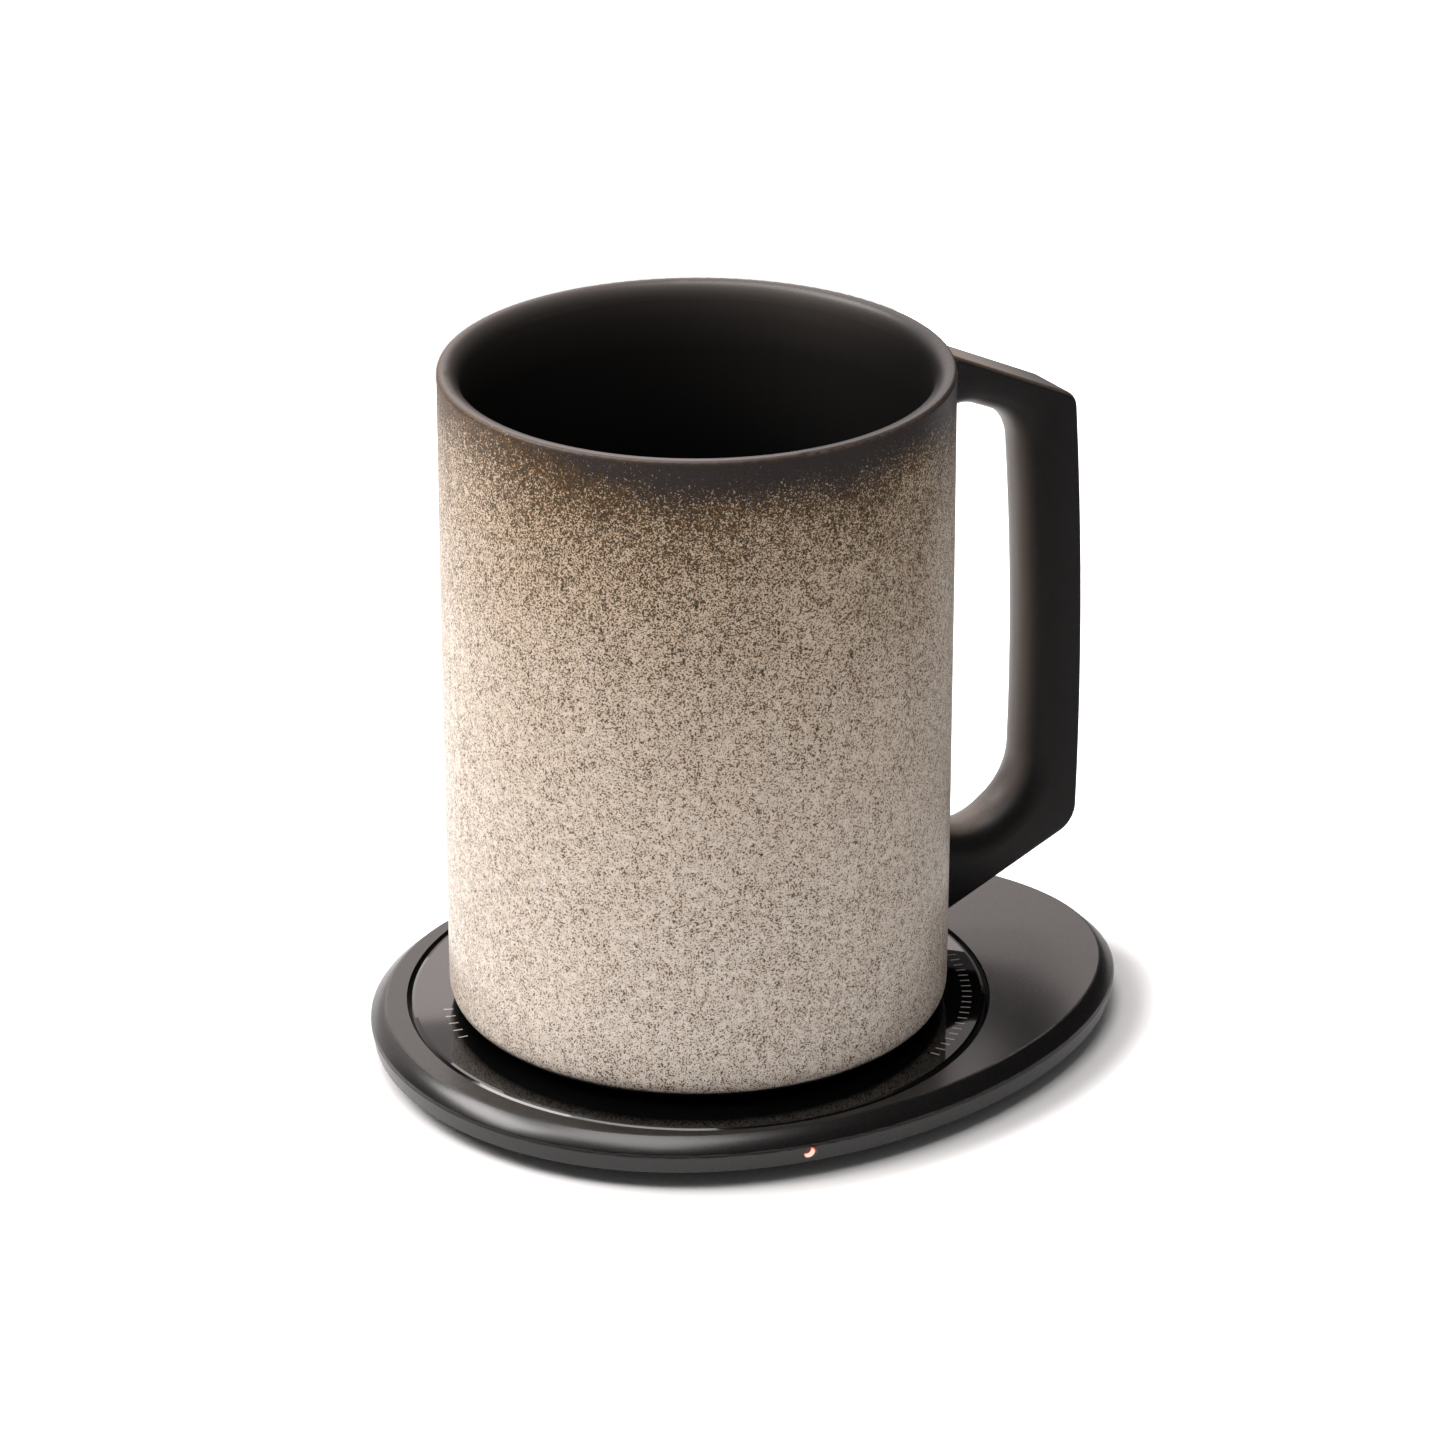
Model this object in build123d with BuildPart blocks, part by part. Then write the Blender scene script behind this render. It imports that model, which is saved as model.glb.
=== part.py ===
from build123d import *
from math import cos, pi, radians, sin, sqrt
import os

os.makedirs("parts", exist_ok=True)

# A self heating mug on its wireless heating coaster, in millimetres.
# +Z is up, and z = 0 is the surface that the coaster stands on.
# The Z axis is the mug's axis and the glass plate's. The coaster's long axis is X.

# Mug body: a thick ceramic cup with an open cavity under its floor
mug_radius = 41.0
mug_height = 110.1
mug_belly = 0.15
lip_wall = 3.6
lip_inner_share = 0.72
lip_outer_share = 0.18
floor_wall = 3.8
floor_thickness = 4.5
floor_round = 9.0
ceramic_lift = 0.95
foot_round = 3.4
cavity_wall = 4.8
cavity_height = 9.6
cavity_round = 1.0

# Handle: straight straps that slope to an upright grip, rounded on the finger side
handle_turn_angle = 7.3
handle_width = 11.0
reach_top = 28.2
reach_bottom = 30.2
grip_bow = 1.1
strap_root_drop = 3.6
strap_corner_drop = 17.1
strap_root_rise = 3.5
strap_corner_rise = 15.6
grip_depth_share = 0.882
top_root_depth_share = 0.743
top_corner_depth_share = 0.252
bottom_root_depth_share = 0.626
bottom_corner_depth_share = 0.795
top_corner_round = 3.4
bottom_corner_round = 5.0
window_top_round = 9.0
window_bottom_round = 10.0
window_top_root_round = 7.7
window_bottom_root_round = 10.0
window_sink = 0.6
outer_edge_round = 0.8
finger_flat = 0.8
root_sink = 8.0
root_cut = 2.0

# Mug base: cap, seal and foot ring
cap_lift = 0.25
cap_floor_level = 1.7
cap_height = 4.2
cap_wall = 2.2
cap_clearance = 0.4
flange_margin = 0.3
foot_ring_inset = 2.9
foot_ring_width = 4.8
foot_ring_clearance = 0.1
seal_depth = 0.9
seal_level = 2.2
seal_height = 1.2

# Mug base: heater, from the ceramic floor down
thermal_pad_thickness = 0.25
thermal_pad_margin = 3.6
heater_thickness = 0.3
heater_margin = 4.0
insulation_thickness = 2.3
insulation_clearance = 0.6
thermistor_radius = 1.1
thermistor_height = 1.4
thermistor_hole_clearance = 0.5
heater_lead_radius = 0.5
heater_lead_inset = 12.2
heater_lead_spacing = 5.0
heater_lead_clearance = 0.4

# Mug base: receiver coil, ferrite and board
coil_inner_radius = 8.0
receiver_coil_thickness = 1.0
ferrite_margin = 1.5
ferrite_thickness = 0.8
receiver_post_radius = 1.6
receiver_post_inset = 3.6
receiver_post_height = 2.8
receiver_post_count = 3
receiver_post_angle = 60.0
ferrite_post_gap = 1.9
receiver_board_clearance = 1.0
board_thickness = 1.0
lead_radius = 0.4
lead_spacing = 2.4
lead_bend = 0.9
lead_gap = 1.0
lead_start_gap = 0.2

# Electronic parts, each with its own footprint and height
chip_size = 5.0
chip_height = 1.0
small_chip_size = 3.3
capacitor_length = 3.2
capacitor_width = 1.6
capacitor_height = 1.7
bulk_radius = 2.5
bulk_height = 3.0
inductor_size = 6.5
inductor_height = 2.8
inductor_round = 1.0
crystal_length = 3.2
crystal_width = 2.5
crystal_height = 0.8

# Coaster outline: an egg that is narrower at its far end, round the glass plate
glass_margin = 7.0
near_rim = 6.2
far_rim = 25.0
side_rim = 3.3
egg_taper_share = 0.12
egg_point_count = 24

# Coaster profile: flat top, sloping shoulder, crease, and a wall that leans in
coaster_height = 8.8
shoulder_width = 2.6
shoulder_round = 0.5
crease_depth = 2.5
crease_round = 0.8
wall_depth = 5.6
wall_lean = 0.6
housing_wall = 1.7
roof_thickness = 1.5
pocket_wall = 3.8
pocket_margin = 1.8
pocket_board_margin = 4.0

# Glass plate and the ledge that carries it
glass_thickness = 1.6
glass_clearance = 0.15
glass_bevel_width = 1.2
glass_bevel_drop = 0.3
adhesive_thickness = 0.2
adhesive_margin = 0.5
ledge_thickness = 0.9
ledge_width = 9.0

# Lower cover and foot pad
pad_thickness = 1.0
pad_recess = 0.4
pad_clearance = 0.1
pad_margin = 0.8
cover_thickness = 1.4
seam_step = 0.3
slope_width = 5.3
tongue_clearance = 0.1
tongue_width = 1.0
tongue_height = 0.6

# Cover screws and their bosses
boss_radius = 3.0
boss_margin = 3.2
boss_root = 0.5
boss_gap_level = 3.6
boss_angles = (35.0, 118.0, 180.0, 242.0, 325.0)
screw_seat_level = 2.3
screw_head_radius = 1.7
screw_head_height = 1.2
screw_head_clearance = 0.2
screw_shank_radius = 0.83
screw_length = 3.9
pilot_clearance = 0.02
pilot_spare = 0.3
shank_clearance = 0.3
recess_radius = 0.8
recess_depth = 0.6

# Transmitter coil stack under the glass
transmitter_coil_thickness = 1.1
shield_margin = 5.0
shield_thickness = 0.8
transmitter_lead_gap = 5.0
transmitter_lead_bend = 1.5

# Main board in the far end
board_edge_inset = 5.0
board_start_inset = 4.0
board_bore_margin = 2.0
board_post_height = 0.9
board_post_radius = 2.6
board_screw_radius = 1.0
board_screw_head_radius = 1.9
board_screw_head_height = 1.0
board_screw_length = 2.6
board_hole_clearance = 0.1
boss_hole_clearance = 0.4
board_screw_shares = ((0.46, 0.47), (0.46, -0.47), (0.835, 0.23), (0.835, -0.23))
chip_shares = ((0.60, 0.10), (0.60, -0.18))
transistor_shares = ((0.52, 0.34), (0.52, 0.24), (0.585, 0.34), (0.585, 0.24))
capacitor_shares = ((0.66, 0.30), (0.66, 0.37), (0.66, -0.30), (0.66, -0.37))
bulk_shares = ((0.74, 0.08), (0.74, 0.19))
inductor_shares = ((0.74, -0.16),)
crystal_shares = ((0.52, -0.10),)
receiver_chip_shares = ((0.0, 0.35), (-0.35, -0.10))
receiver_capacitor_shares = ((0.25, -0.40), (0.35, -0.40), (0.45, -0.40), (-0.35, 0.35), (-0.45, 0.35))

# USB-C socket in the far end's wall
usb_width = 8.94
usb_height = 3.26
usb_depth = 7.3
usb_sheet = 0.3
usb_rise = 0.8
usb_recess = 0.5
usb_hole_clearance = 0.12
usb_back = 0.8
usb_block_depth = 1.4
tongue_plate_width = 6.7
tongue_plate_height = 0.7
tongue_plate_setback = 0.9

# Light in the front wall
light_offset = -3.2
light_drop = 3.9
light_hole_radius = 1.1
lens_clearance = 0.05
lens_recess = 0.8
lens_back_inset = 5.3
light_board_length = 13.0
light_board_depth = 8.0
light_board_gap = 0.05
light_board_end_margin = 4.0
light_post_radius = 1.5
light_chip_width = 1.8
light_chip_depth = 1.2
light_chip_height = 2.0
cable_inset = 8.0
cable_width = 3.0
cable_thickness = 0.25
cable_start_angle = -90.0
cable_end_angle = -40.0

# Every cut runs this far past the face that it opens
overrun = 1.0

# Levels in the coaster, from the floor up
glass_top = coaster_height
glass_under = glass_top - glass_thickness
ledge_top = glass_under - adhesive_thickness
ledge_under = ledge_top - ledge_thickness
roof_under = glass_top - roof_thickness
crease_level = glass_top - crease_depth
wall_bottom = glass_top - wall_depth
cover_under = pad_thickness - pad_recess
cover_floor = cover_under + cover_thickness
board_under = cover_floor + board_post_height
board_top = board_under + board_thickness
transmitter_coil_under = glass_under - transmitter_coil_thickness
transmitter_ferrite_under = transmitter_coil_under - ferrite_thickness
shield_under = transmitter_ferrite_under - shield_thickness
light_level = glass_top - light_drop
usb_level = board_top + usb_rise

# Levels in the mug, from the glass up
ceramic_under = glass_top + ceramic_lift
cavity_top = ceramic_under + cavity_height
inside_floor = cavity_top + floor_thickness
rim_level = glass_top + mug_height
cap_under = glass_top + cap_lift
cap_floor = glass_top + cap_floor_level
cap_top = glass_top + cap_height
receiver_ferrite_under = cap_floor + receiver_coil_thickness
receiver_board_under = cap_floor + receiver_post_height
receiver_board_top = receiver_board_under + board_thickness
heater_top = cavity_top - thermal_pad_thickness
heater_under = heater_top - heater_thickness
insulation_under = heater_under - insulation_thickness

# The handle's section, whose depths go with its width
finger_edge_round = (handle_width - finger_flat) / 2
grip_depth = handle_width * grip_depth_share
window_root_drop = strap_root_drop + handle_width * top_root_depth_share
window_corner_drop = strap_corner_drop + handle_width * top_corner_depth_share
window_root_rise = strap_root_rise + handle_width * bottom_root_depth_share
window_corner_rise = strap_corner_rise + handle_width * bottom_corner_depth_share

# Radii and places in the mug that follow from its radius
cavity_radius = mug_radius - cavity_wall
flange_radius = mug_radius - foot_round - flange_margin
heater_radius = cavity_radius - heater_margin
heater_lead_reach = heater_radius - heater_lead_inset
cap_radius = cavity_radius - cap_clearance
cap_inner_radius = cap_radius - cap_wall
receiver_board_radius = cap_inner_radius - receiver_board_clearance
receiver_post_reach = cap_inner_radius - receiver_post_inset
ferrite_radius = receiver_post_reach - receiver_post_radius - ferrite_post_gap
coil_outer_radius = ferrite_radius - ferrite_margin
pilot_radius = screw_shank_radius + pilot_clearance

# Radii and places in the coaster that follow from the mug's radius and the coil's
glass_radius = mug_radius + glass_margin
half_length = glass_radius + (near_rim + far_rim) / 2
half_width = glass_radius + side_rim
egg_shift = (far_rim - near_rim) / 2
far_tip = glass_radius + far_rim
cavity_inset = wall_lean + housing_wall
slope_end_inset = wall_lean + seam_step + slope_width
boss_inset = slope_end_inset + boss_margin
ledge_inner_radius = glass_radius - ledge_width
shield_radius = coil_outer_radius + shield_margin
board_bore_radius = shield_radius + board_bore_margin
board_start = board_bore_radius - board_start_inset
pocket_start = board_start - pocket_board_margin
cable_radius = glass_radius - cable_inset
usb_mouth = far_tip - usb_recess
usb_rear = usb_mouth - usb_depth


def egg_point(angle, inset):
    """A point of the coaster's outline, drawn in by the inset."""
    across = (half_width - inset) * sin(angle) * (1 - egg_taper_share * cos(angle))
    return egg_shift + (half_length - inset) * cos(angle), across


def egg_half_width(along, inset):
    """How far the drawn-in outline lies from the long axis at a place along it."""
    lengthwise = (along - egg_shift) / (half_length - inset)
    return (half_width - inset) * sqrt(1 - lengthwise**2) * (1 - egg_taper_share * lengthwise)


def egg_face(level, inset):
    """The coaster's outline at one level, as a face."""
    angles = [2 * pi * index / egg_point_count for index in range(egg_point_count)]
    with BuildSketch(Plane.XY.offset(level)) as outline:
        with BuildLine():
            Spline(*[egg_point(angle, inset) for angle in angles], periodic=True)
        make_face()
    return outline.sketch


def ring_face(level, outer, inner=0):
    """A disc round the Z axis, or a ring where an inner radius is given."""
    with BuildSketch(Plane.XY.offset(level)) as ring:
        Circle(outer)
        if inner > 0:
            Circle(inner, mode=Mode.SUBTRACT)
    return ring.sketch


def board_places(shares, level):
    """Places on the main board, as shares of the far tip and the half width."""
    return [(along * far_tip, across * half_width, level) for along, across in shares]


def receiver_places(shares, level):
    """Places on the receiver board, as shares of its radius."""
    return [(x * receiver_board_radius, y * receiver_board_radius, level) for x, y in shares]


def receiver_posts():
    """Places of the receiver board's posts, round the Z axis."""
    return PolarLocations(receiver_post_reach, receiver_post_count, start_angle=receiver_post_angle)


def boss_places(level):
    """Places of the cover screws, round the drawn-in outline."""
    return [(*egg_point(radians(angle), boss_inset), level) for angle in boss_angles]


def on_line(start, end, x):
    """The point at x on the line through two points."""
    return x, start[1] + (end[1] - start[1]) * (x - start[0]) / (end[0] - start[0])


def finish(builder, name):
    """Label a piece and write it."""
    builder.part.label = name
    export_step(builder.part, f"parts/{name}.step")
    print(name, round(builder.part.volume, 1), "mm3")


upright = (Align.CENTER, Align.CENTER, Align.MIN)

# Mug body's outside, which the handle is also cut to
with BuildPart() as mug_envelope:
    with BuildSketch(Plane.XZ) as profile:
        with BuildLine():
            end_radius = mug_radius - mug_belly
            middle = (ceramic_under + rim_level) / 2
            Line((0, ceramic_under), (end_radius, ceramic_under))
            ThreePointArc((end_radius, ceramic_under), (mug_radius, middle), (end_radius, rim_level))
            Polyline((end_radius, rim_level), (0, rim_level), (0, ceramic_under))
        make_face()
        fillet(profile.vertices().sort_by_distance((end_radius, ceramic_under))[0], foot_round)
        fillet(profile.vertices().sort_by_distance((end_radius, rim_level))[0], lip_wall * lip_outer_share)
    revolve(axis=Axis.Z)

with BuildPart() as mug_body:
    add(mug_envelope.part)
    with BuildSketch(Plane.XZ) as inside:
        with BuildLine():
            Polyline(
                (0, inside_floor),
                (mug_radius - floor_wall, inside_floor),
                (mug_radius - mug_belly - lip_wall, rim_level),
                (0, rim_level),
                close=True,
            )
        make_face()
        fillet(inside.vertices().sort_by(Axis.Y)[:2].sort_by(Axis.X)[-1], floor_round)
    revolve(axis=Axis.Z, mode=Mode.SUBTRACT)
    fillet(mug_body.edges().group_by(Axis.Z)[-1].sort_by(SortBy.LENGTH)[0], lip_wall * lip_inner_share)
    extrude(ring_face(ceramic_under, cavity_radius), amount=cavity_height, mode=Mode.SUBTRACT)
    cavity_ceiling = mug_body.edges().filter_by_position(Axis.Z, cavity_top, cavity_top)
    fillet(cavity_ceiling, cavity_round)
finish(mug_body, "mug_body")

# Mug handle: a D-shaped block that starts in the mug, less its window and less the mug's outside
turn = radians(handle_turn_angle)
handle_plane = Plane(
    origin=(0, 0, glass_top),
    x_dir=(cos(turn), sin(turn), 0),
    z_dir=(sin(turn), -cos(turn), 0),
)


def handle_outline(top_root, top_corner, bottom_corner, bottom_root, inner_x, corner_rounds):
    """A four-sided outline with a bowed outer side, and a radius for each of its corners."""
    bowed = (
        (top_corner[0] + bottom_corner[0]) / 2 + grip_bow,
        (top_corner[1] + bottom_corner[1]) / 2,
    )
    top_end = on_line(top_root, top_corner, inner_x)
    bottom_end = on_line(bottom_root, bottom_corner, inner_x)
    with BuildSketch(handle_plane) as outline:
        with BuildLine():
            Line(top_end, top_corner)
            ThreePointArc(top_corner, bowed, bottom_corner)
            Polyline(bottom_corner, bottom_end, top_end)
        make_face()
        for corner, radius in zip((top_end, top_corner, bottom_corner, bottom_end), corner_rounds):
            if radius > 0:
                fillet(outline.vertices().sort_by_distance(corner)[0], radius)
    return outline.sketch


with BuildPart() as mug_handle:
    block_outline = handle_outline(
        (mug_radius, mug_height - strap_root_drop),
        (mug_radius + reach_top, mug_height - strap_corner_drop),
        (mug_radius + reach_bottom, strap_corner_rise),
        (mug_radius, strap_root_rise),
        mug_radius - root_sink,
        (0, top_corner_round, bottom_corner_round, 0),
    )
    window_outline = handle_outline(
        (mug_radius, mug_height - window_root_drop),
        (mug_radius + reach_top - grip_depth, mug_height - window_corner_drop),
        (mug_radius + reach_bottom - grip_depth, window_corner_rise),
        (mug_radius, window_root_rise),
        mug_radius - window_sink,
        (window_top_root_round, window_top_round, window_bottom_round, window_bottom_root_round),
    )
    extrude(block_outline, amount=handle_width / 2, both=True)
    side_edges = mug_handle.faces().filter_by(handle_plane).edges()
    fillet(
        side_edges.filter_by(lambda edge: handle_plane.to_local_coords(edge.center()).X > mug_radius),
        outer_edge_round,
    )
    extrude(window_outline, amount=handle_width, both=True, mode=Mode.SUBTRACT)
    window_faces = mug_handle.faces(Select.LAST).filter_by(handle_plane, reverse=True)
    fillet(
        window_faces.edges().filter_by(
            lambda edge: abs(handle_plane.to_local_coords(edge.center()).Z) > handle_width / 4
        ),
        finger_edge_round,
    )
    add(mug_envelope.part, mode=Mode.SUBTRACT)
    extrude(ring_face(0, mug_radius - root_cut), amount=rim_level + root_sink, mode=Mode.SUBTRACT)
finish(mug_handle, "mug_handle")

# Mug base
foot_ring_outer = flange_radius - foot_ring_inset
foot_ring_inner = foot_ring_outer - foot_ring_width

with BuildPart() as base_cap:
    extrude(ring_face(cap_under, flange_radius), amount=ceramic_under - cap_under)
    extrude(ring_face(ceramic_under, cap_radius), amount=cap_top - ceramic_under)
    extrude(ring_face(cap_floor, cap_inner_radius), amount=cap_height, mode=Mode.SUBTRACT)
    groove_inner = foot_ring_inner - foot_ring_clearance
    groove_outer = foot_ring_outer + foot_ring_clearance
    extrude(
        ring_face(cap_under, groove_outer, groove_inner),
        amount=ceramic_under - cap_under,
        mode=Mode.SUBTRACT,
    )
    seal_inner = cap_radius - seal_depth
    extrude(
        ring_face(glass_top + seal_level, cap_radius, seal_inner),
        amount=seal_height,
        mode=Mode.SUBTRACT,
    )
    with BuildSketch(Plane.XY.offset(cap_floor)):
        with receiver_posts():
            Circle(receiver_post_radius)
    extrude(amount=receiver_post_height)
    with BuildSketch(Plane.XY.offset(receiver_board_under)):
        with receiver_posts():
            Circle(pilot_radius)
    extrude(amount=-receiver_post_height, mode=Mode.SUBTRACT)
finish(base_cap, "base_cap")

with BuildPart() as base_seal:
    extrude(ring_face(glass_top + seal_level, cavity_radius, seal_inner), amount=seal_height)
finish(base_seal, "base_seal")

with BuildPart() as foot_ring:
    extrude(ring_face(glass_top, foot_ring_outer, foot_ring_inner), amount=ceramic_lift)
finish(foot_ring, "foot_ring")

# Heater stack under the ceramic floor
with BuildPart() as thermal_pad:
    extrude(ring_face(heater_top, cavity_radius - thermal_pad_margin), amount=thermal_pad_thickness)
finish(thermal_pad, "thermal_pad")

with BuildPart() as heater_film:
    extrude(ring_face(heater_under, heater_radius), amount=heater_thickness)
finish(heater_film, "heater_film")

heater_lead_places = [
    (heater_lead_reach, side * heater_lead_spacing / 2, receiver_board_top) for side in (-1, 1)
]

with BuildPart() as insulation_disc:
    extrude(
        ring_face(
            insulation_under,
            cavity_radius - insulation_clearance,
            thermistor_radius + thermistor_hole_clearance,
        ),
        amount=insulation_thickness,
    )
    with Locations(*heater_lead_places):
        Cylinder(
            heater_lead_radius + heater_lead_clearance,
            heater_under - receiver_board_top,
            align=upright,
            mode=Mode.SUBTRACT,
        )
finish(insulation_disc, "insulation_disc")

with BuildPart() as floor_thermistor:
    extrude(ring_face(heater_under, thermistor_radius), amount=-thermistor_height)
finish(floor_thermistor, "floor_thermistor")

with BuildPart() as heater_leads:
    with Locations(*heater_lead_places):
        Cylinder(heater_lead_radius, heater_under - receiver_board_top, align=upright)
finish(heater_leads, "heater_leads")

# Receiver coil, ferrite and board
with BuildPart() as receiver_coil:
    extrude(ring_face(cap_floor, coil_outer_radius, coil_inner_radius), amount=receiver_coil_thickness)
finish(receiver_coil, "receiver_coil")

with BuildPart() as receiver_ferrite:
    extrude(ring_face(receiver_ferrite_under, ferrite_radius), amount=ferrite_thickness)
finish(receiver_ferrite, "receiver_ferrite")


def lead_pair(level, reach, end_level, bend):
    """Two round wires side by side, from a coil's edge along X, then along Z to a board."""
    start = sqrt(coil_outer_radius**2 - (lead_spacing / 2 + lead_radius) ** 2) + lead_start_gap
    with BuildPart() as pair:
        for side in (-1, 1):
            with BuildLine(Plane.XZ.offset(side * lead_spacing / 2)) as route:
                FilletPolyline((start, level), (reach, level), (reach, end_level), radius=bend)
            with BuildSketch(Plane(origin=route.line @ 0, z_dir=route.line % 0)):
                Circle(lead_radius)
            sweep(path=route.line)
    return pair


receiver_coil_leads = lead_pair(
    cap_floor + receiver_coil_thickness / 2,
    ferrite_radius + lead_gap + lead_radius,
    receiver_board_under,
    lead_bend,
)
finish(receiver_coil_leads, "receiver_coil_leads")

with BuildPart() as receiver_board:
    extrude(ring_face(receiver_board_under, receiver_board_radius), amount=board_thickness)
    with BuildSketch(Plane.XY.offset(receiver_board_under)):
        with receiver_posts():
            Circle(screw_shank_radius + shank_clearance)
    extrude(amount=board_thickness, mode=Mode.SUBTRACT)
finish(receiver_board, "receiver_board")

with BuildPart() as receiver_board_screws:
    with BuildSketch(Plane.XY.offset(receiver_board_top)):
        with receiver_posts():
            Circle(screw_head_radius)
    extrude(amount=screw_head_height)
    with BuildSketch(Plane.XY.offset(receiver_board_top)):
        with receiver_posts():
            Circle(screw_shank_radius)
    extrude(amount=-(board_thickness + receiver_post_height - pilot_spare))
finish(receiver_board_screws, "receiver_board_screws")

with BuildPart() as receiver_chips:
    with Locations(*receiver_places(receiver_chip_shares, receiver_board_top)):
        Box(chip_size, chip_size, chip_height, align=upright)
finish(receiver_chips, "receiver_chips")

with BuildPart() as receiver_capacitors:
    with Locations(*receiver_places(receiver_capacitor_shares, receiver_board_top)):
        Box(capacitor_width, capacitor_length, capacitor_height, align=upright)
finish(receiver_capacitors, "receiver_capacitors")

# Coaster's upper housing
with BuildPart() as upper_housing:
    loft(sections=[egg_face(wall_bottom, wall_lean), egg_face(crease_level, 0)], ruled=True)
    loft(sections=[egg_face(crease_level, 0), egg_face(glass_top, shoulder_width)], ruled=True)
    fillet(upper_housing.edges().filter_by_position(Axis.Z, crease_level, crease_level), crease_round)
    fillet(upper_housing.edges().group_by(Axis.Z)[-1], shoulder_round)
    extrude(egg_face(wall_bottom, cavity_inset), amount=ledge_under - wall_bottom, mode=Mode.SUBTRACT)
    with BuildSketch(Plane.XY.offset(ledge_under)):
        add(egg_face(0, pocket_wall))
        Circle(glass_radius + pocket_margin, mode=Mode.SUBTRACT)
        with Locations((pocket_start, 0)):
            Rectangle(
                2 * half_length,
                2 * half_width,
                align=(Align.MIN, Align.CENTER),
                mode=Mode.INTERSECT,
            )
    extrude(amount=roof_under - ledge_under, mode=Mode.SUBTRACT)
    with Locations(*boss_places(boss_gap_level)):
        Cylinder(boss_radius, roof_under - boss_gap_level + boss_root, align=upright)
    with Locations(*boss_places(boss_gap_level)):
        Cylinder(
            pilot_radius,
            screw_seat_level + screw_length + pilot_spare - boss_gap_level,
            align=upright,
            mode=Mode.SUBTRACT,
        )
    extrude(ring_face(ledge_top, glass_radius), amount=coaster_height, mode=Mode.SUBTRACT)
    extrude(ring_face(wall_bottom, ledge_inner_radius), amount=coaster_height, mode=Mode.SUBTRACT)
    with BuildSketch(Plane.XZ.offset(egg_half_width(light_offset, lens_back_inset))):
        with Locations((light_offset, light_level)):
            Circle(light_hole_radius)
    extrude(amount=lens_back_inset + overrun, mode=Mode.SUBTRACT)
    with BuildSketch(Plane.YZ.offset(usb_rear)):
        with Locations((0, usb_level)):
            SlotOverall(usb_width + 2 * usb_hole_clearance, usb_height + 2 * usb_hole_clearance)
    extrude(amount=usb_depth + usb_recess + overrun, mode=Mode.SUBTRACT)
finish(upper_housing, "upper_housing")

# Glass plate with a bevelled rim, and the ring that bonds it to the ledge
with BuildPart() as glass_plate:
    with BuildSketch(Plane.XZ):
        with BuildLine():
            plate_radius = glass_radius - glass_clearance
            Polyline(
                (0, glass_under),
                (plate_radius, glass_under),
                (plate_radius, glass_top - glass_bevel_drop),
                (plate_radius - glass_bevel_width, glass_top),
                (0, glass_top),
                close=True,
            )
        make_face()
    revolve(axis=Axis.Z)
finish(glass_plate, "glass_plate")

with BuildPart() as glass_adhesive:
    extrude(
        ring_face(ledge_top, glass_radius - adhesive_margin, ledge_inner_radius + adhesive_margin),
        amount=adhesive_thickness,
    )
finish(glass_adhesive, "glass_adhesive")

# Lower cover: a shallow dish with a tongue, screw bosses and board posts
light_board_front = egg_half_width(light_offset, lens_back_inset) - light_board_gap
light_board_middle = -(light_board_front - light_board_depth / 2)
light_post_reach = light_board_length / 2 - light_board_end_margin / 2
light_post_places = [
    (light_offset + side * light_post_reach, light_board_middle, cover_floor) for side in (-1, 1)
]

with BuildPart() as lower_cover:
    rim_inset = wall_lean + seam_step
    loft(sections=[egg_face(cover_under, slope_end_inset), egg_face(wall_bottom, rim_inset)], ruled=True)
    dish_rise = wall_bottom - cover_floor
    dish_rim_inset = slope_end_inset - slope_width * dish_rise / (wall_bottom - cover_under)
    loft(
        sections=[egg_face(cover_floor, slope_end_inset), egg_face(wall_bottom, dish_rim_inset)],
        ruled=True,
        mode=Mode.SUBTRACT,
    )
    tongue_inset = cavity_inset + tongue_clearance
    with BuildSketch(Plane.XY.offset(wall_bottom)):
        add(egg_face(0, tongue_inset))
        add(egg_face(0, tongue_inset + tongue_width), mode=Mode.SUBTRACT)
    extrude(amount=tongue_height)
    with Locations(*boss_places(cover_under)):
        Cylinder(boss_radius, boss_gap_level - cover_under, align=upright)
    extrude(
        egg_face(cover_under, slope_end_inset + pad_margin),
        amount=pad_recess,
        mode=Mode.SUBTRACT,
    )
    with Locations(*boss_places(cover_under)):
        Cylinder(
            screw_head_radius + screw_head_clearance,
            screw_seat_level - cover_under,
            align=upright,
            mode=Mode.SUBTRACT,
        )
    with Locations(*boss_places(cover_under)):
        Cylinder(screw_shank_radius + shank_clearance, coaster_height, align=upright, mode=Mode.SUBTRACT)
    with Locations(*board_places(board_screw_shares, cover_floor)):
        Cylinder(board_post_radius, board_post_height, align=upright)
    with Locations(*board_places(board_screw_shares, board_top - board_screw_length)):
        Cylinder(
            board_screw_radius + pilot_clearance,
            board_screw_length,
            align=upright,
            mode=Mode.SUBTRACT,
        )
    with Locations(*light_post_places):
        Cylinder(light_post_radius, board_post_height, align=upright)
    with BuildSketch(Plane.YZ.offset(usb_rear)):
        with Locations((0, usb_level)):
            SlotOverall(usb_width + 2 * usb_hole_clearance, usb_height + 2 * usb_hole_clearance)
    extrude(amount=usb_depth + usb_recess + overrun, mode=Mode.SUBTRACT)
finish(lower_cover, "lower_cover")

with BuildPart() as foot_pad:
    extrude(egg_face(0, slope_end_inset + pad_margin + pad_clearance), amount=pad_thickness)
finish(foot_pad, "foot_pad")

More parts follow.
